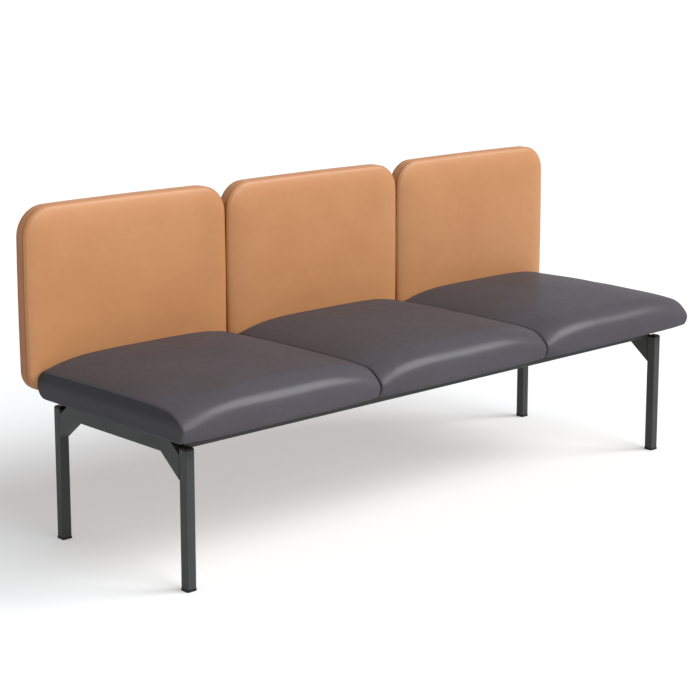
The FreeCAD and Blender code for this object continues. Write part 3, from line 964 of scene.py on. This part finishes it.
# A back from the middle of its front to the floor of its room, with the splits of a ring in
# the middles of its four corners.
def backForm(low, high):
    shape = backShape
    halfWide, halfHigh = (high.x - low.x) / 2, (high.z - low.z) / 2
    centre = np.array([(low.x + high.x) / 2, 0.0, (low.z + high.z) / 2])
    seam = high.y - shape["rearRound"] - shape["boxingDepth"]
    rows = frontRows() + boxingRows(seam, high.y)
    layers = [backLayer(row[0], row[1], seam, halfWide, halfHigh) for row in rows]
    layers = np.array(layers) + centre
    arcs, sides, ends = shape["arcSteps"], shape["sideSteps"], shape["endSteps"]
    starts = np.array([0, arcs + sides, 2 * arcs + sides + ends, 3 * arcs + 2 * sides + ends])
    points, faces, ringPoints = closedForm(layers, starts + arcs // 2)
    shares = {}
    for name, column in (("seamNear", 2), ("stripShade", 3)):
        values = np.zeros(len(points))
        values[:ringPoints] = np.repeat([row[column] for row in rows], layers.shape[1])
        shares[name] = values
    # The boxing's painted shade fades out near the top, where the lamps light it, so the boxing on top
    # keeps most of the front's tone.
    litTop = eased(points[:, 2], high.z - shape["shadeFade"], high.z)
    shares["stripShade"] *= 1 - shape["shadeFadeShare"] * litTop
    freedom = eased(points[:, 2], *shape["lowFreedom"])
    freedom[points[:, 1] > seam - shape["heldMargin"]] = 0.0
    return points, faces, shares, freedom


backLow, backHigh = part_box("back_cushion_middle")
makePads(backForm(backLow, backHigh), backCover, "back_cushion", "back_pad", "back_leather")


# Studio

studio = {
    "white": (1.0, 1.0, 1.0, 1.0),
    "floorSize": 60.0,
    "floorColour": (0.86, 0.88, 0.90, 1.0),
    "floorGlow": 0.28,
    "ambient": 0.31,
}

# Each lamp gives its share of light to a surface that faces it, beside the ambient light.
lamps = {
    "sideLamp": {"share": 0.45, "angle": 26.0, "comesFrom": (0.61, -0.48, 0.63)},
    "frontLamp": {"share": 0.50, "angle": 40.0, "comesFrom": (0.14, -0.79, 0.60)},
}


# A flat floor that adds a little glow for the camera and for mirror-like surfaces, so that it
# shows white out of the shadow and still keeps the shadow.
def makeFloor():
    half = studio["floorSize"] / 2
    corners = np.array([[-half, -half, 0], [half, -half, 0], [half, half, 0], [-half, half, 0]])
    mesh = bpy.data.meshes.new("floor")
    mesh.from_pydata(corners.tolist(), [], [(0, 1, 2, 3)])
    floor = bpy.data.objects.new("floor", mesh)
    bpy.context.scene.collection.objects.link(floor)
    paint = newPaint("paleFloor")
    body = paint.node("ShaderNodeBsdfDiffuse", {}, {"Color": studio["floorColour"]})
    strength = paint.seenRay() * studio["floorGlow"]
    glow = paint.node("ShaderNodeEmission", {}, {"Color": studio["white"], "Strength": strength})
    both = paint.node("ShaderNodeAddShader", {}, {0: body, 1: glow})
    paint.node("ShaderNodeOutputMaterial", {}, {"Surface": both})
    mesh.materials.append(paint.owner)


# White for the camera and for reflections, and a softer even light for everything else.
def makeSky():
    sky = bpy.data.worlds.new("studioSky")
    bpy.context.scene.world = sky
    paint = Paint(sky)
    strength = paint.seenRay() * (1.0 - studio["ambient"]) + studio["ambient"]
    back = paint.node("ShaderNodeBackground", {}, {"Color": studio["white"], "Strength": strength})
    paint.node("ShaderNodeOutputWorld", {}, {"Surface": back})


# A sun whose light falls from the look's direction. Energy pi lights a facing surface by 1.
def addLamp(name, look):
    lamp = bpy.data.lights.new(name, "SUN")
    lamp.energy = math.pi * look["share"]
    lamp.angle = math.radians(look["angle"])
    holder = bpy.data.objects.new(name, lamp)
    bpy.context.scene.collection.objects.link(holder)
    holder.rotation_euler = Vector(look["comesFrom"]).to_track_quat("Z", "Y").to_euler()


viewpoint = {
    "offset": (-3.2602, -3.3887, 1.4819),  # from the floor under the middle of the legs
    "turn": 42.903,  # degrees from +Y towards +X
    "drop": 10.557,  # degrees below the horizon
    "film": 36.0,
    "lens": 94.64,
    "shift": -0.12,
}


# Stands the camera off from the middle of the legs, turned and dropped towards the bench.
def makeCamera():
    camera = bpy.data.cameras.new("camera")
    camera.sensor_width = viewpoint["film"]
    camera.lens = viewpoint["lens"]
    camera.shift_y = viewpoint["shift"]
    holder = bpy.data.objects.new("camera", camera)
    bpy.context.scene.collection.objects.link(holder)
    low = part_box("leg_front_left")[0]
    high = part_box("leg_rear_right")[1]
    middle = Vector(((low.x + high.x) / 2, (low.y + high.y) / 2, 0))
    holder.location = middle + Vector(viewpoint["offset"])
    tilt = math.radians(90 - viewpoint["drop"])
    holder.rotation_euler = Euler((tilt, 0, -math.radians(viewpoint["turn"])), "XYZ")
    bpy.context.scene.camera = holder


makeFloor()
makeSky()
for lampName, lampLook in lamps.items():
    addLamp(lampName, lampLook)
makeCamera()
bpy.context.scene.view_settings.view_transform = "Standard"
print("bench: studio made")
